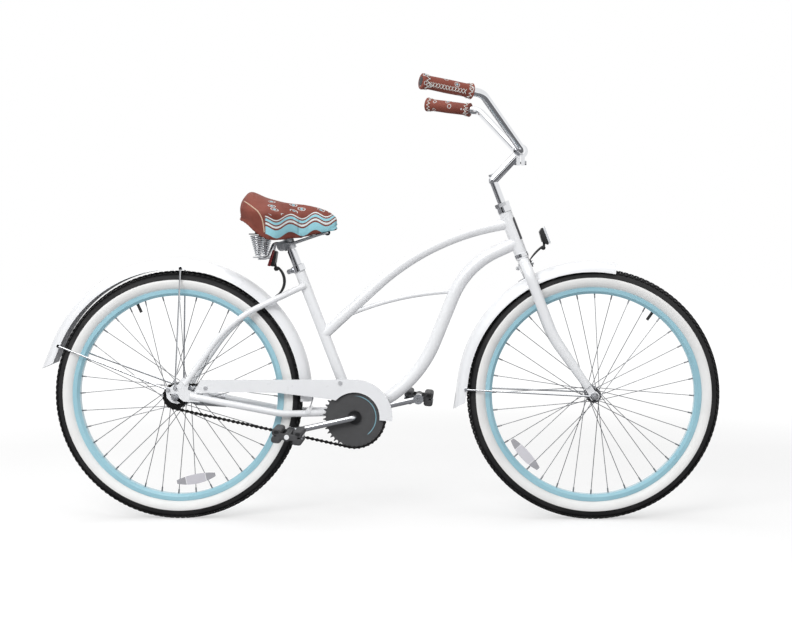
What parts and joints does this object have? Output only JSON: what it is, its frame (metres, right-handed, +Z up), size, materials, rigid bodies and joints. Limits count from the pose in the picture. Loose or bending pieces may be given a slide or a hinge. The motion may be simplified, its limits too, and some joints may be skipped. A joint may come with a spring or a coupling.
{
  "type": "beach cruiser bicycle",
  "caption": "Step-through style cruiser bicycle with balloon tyres, mudguards, chain guard, sprung saddle and swept handlebar; wheels, cranks, pedals and steering move.",
  "frame": {"origin": "middle of the footprint on the floor, under the middle of the overall length", "axes": "+X forward, the way it rides; +Y to the left side; +Z up from the floor; the chain is on the -Y side"},
  "size_m": [1.8171, 0.696, 1.1537],
  "materials": {
    "white_paint": "gloss enamel",
    "blue_rim": "gloss enamel",
    "tyre": "whitewall side, black tread",
    "rubber": "matt",
    "chrome": "mirror plating",
    "steel": "zinc plated",
    "alloy": "satin",
    "dark_steel": "dark",
    "brown_leather": "printed cover",
    "black_plastic": "moulded",
    "grey_plastic": "moulded",
    "red_lens": "prismatic",
    "clear_lens": "prismatic"
  },
  "bodies": {
    "frame": {"head_tube": "white_paint", "top_tube": "white_paint", "down_tube": "white_paint", "brace_tube": "white_paint", "seat_tube": "white_paint", "bb_shell": "white_paint", "seat_stays": "white_paint", "chain_stays": "white_paint", "dropouts": "white_paint", "headset_cups": "chrome", "bb_cups": "chrome", "frame_bearings": "steel", "seat_clamp": "chrome", "rear_fender": "white_paint", "rear_fender_stays": "chrome", "chain_guard": "white_paint", "rear_reflector": "black_plastic", "rear_reflector_lens": "red_lens", "rear_axle": "steel", "rear_axle_nuts": "steel", "brake_arm": "steel", "chain": "dark_steel", "frame_hardware": "steel"},
    "fork": {"fork": "white_paint", "headset_locknut": "chrome", "stem": "chrome", "fork_bolts": "steel", "handlebar": "chrome", "grips": "brown_leather", "front_fender": "white_paint", "front_fender_stays": "chrome", "front_reflector": "black_plastic", "front_reflector_lens": "clear_lens", "front_axle": "steel", "front_axle_nuts": "steel"},
    "front_wheel": {"front_tyre": "tyre", "front_rim": "blue_rim", "front_spokes": "steel", "front_inner_tube": "rubber", "front_hub": "chrome", "front_wheel_reflector": "clear_lens"},
    "rear_wheel": {"rear_tyre": "tyre", "rear_rim": "blue_rim", "rear_spokes": "steel", "rear_inner_tube": "rubber", "rear_hub": "chrome", "rear_wheel_reflector": "clear_lens"},
    "sprocket": {"rear_sprocket": "dark_steel"},
    "crank": {"crank": "chrome", "chainring": "dark_steel", "bb_cones": "steel", "pedal_spindles": "steel"},
    "right_pedal": {"right_pedal": "grey_plastic"},
    "left_pedal": {"left_pedal": "grey_plastic"},
    "seatpost": {"seatpost": "chrome", "saddle_clamp": "steel", "saddle_rails": "chrome"},
    "saddle": {"saddle_pan": "black_plastic", "saddle_cushion": "brown_leather", "saddle_springs": "chrome"}
  },
  "joints": [
    {"name": "steering", "type": "hinge", "parent": "frame", "child": "fork", "pos_m": [0.38448, 0, 0.7096], "axis": [-0.3535, 0, 0.9354], "range_deg": [-90, 90]},
    {"name": "front_wheel_spin", "type": "hinge", "parent": "fork", "child": "front_wheel", "pos_m": [0.57458, 0, 0.334], "axis": [0, 1, 0], "continuous": true},
    {"name": "rear_wheel_spin", "type": "hinge", "parent": "frame", "child": "rear_wheel", "pos_m": [-0.53542, 0, 0.334], "axis": [0, 1, 0], "continuous": true},
    {"name": "crank_spin", "type": "hinge", "parent": "frame", "child": "crank", "pos_m": [-0.05855, 0, 0.278], "axis": [0, 1, 0], "continuous": true, "deforming": ["chain"]},
    {"name": "sprocket_spin", "type": "hinge", "parent": "frame", "child": "sprocket", "pos_m": [-0.53542, 0, 0.334], "axis": [0, 1, 0], "continuous": true, "deforming": ["chain"]},
    {"name": "right_pedal_spin", "type": "hinge", "parent": "crank", "child": "right_pedal", "pos_m": [-0.2249, -0.132, 0.24294], "axis": [0, 1, 0], "continuous": true},
    {"name": "left_pedal_spin", "type": "hinge", "parent": "crank", "child": "left_pedal", "pos_m": [0.1078, 0.132, 0.31306], "axis": [0, 1, 0], "continuous": true},
    {"name": "seatpost_slide", "type": "slide", "parent": "frame", "child": "seatpost", "axis": [-0.3551, 0, 0.9348], "range_m": [-0.01, 0.06]},
    {"name": "saddle_bounce", "type": "hinge", "parent": "seatpost", "child": "saddle", "pos_m": [-0.13042, 0, 0.768], "axis": [0, -1, 0], "range_deg": [0, 4], "stiffness_Nm_per_rad": 1500, "springref_deg": -0.34, "deforming": ["saddle_springs"]}
  ],
  "couplings": [
    {"joint": "sprocket_spin", "follows": "crank_spin", "ratio": 2.5}
  ]
}
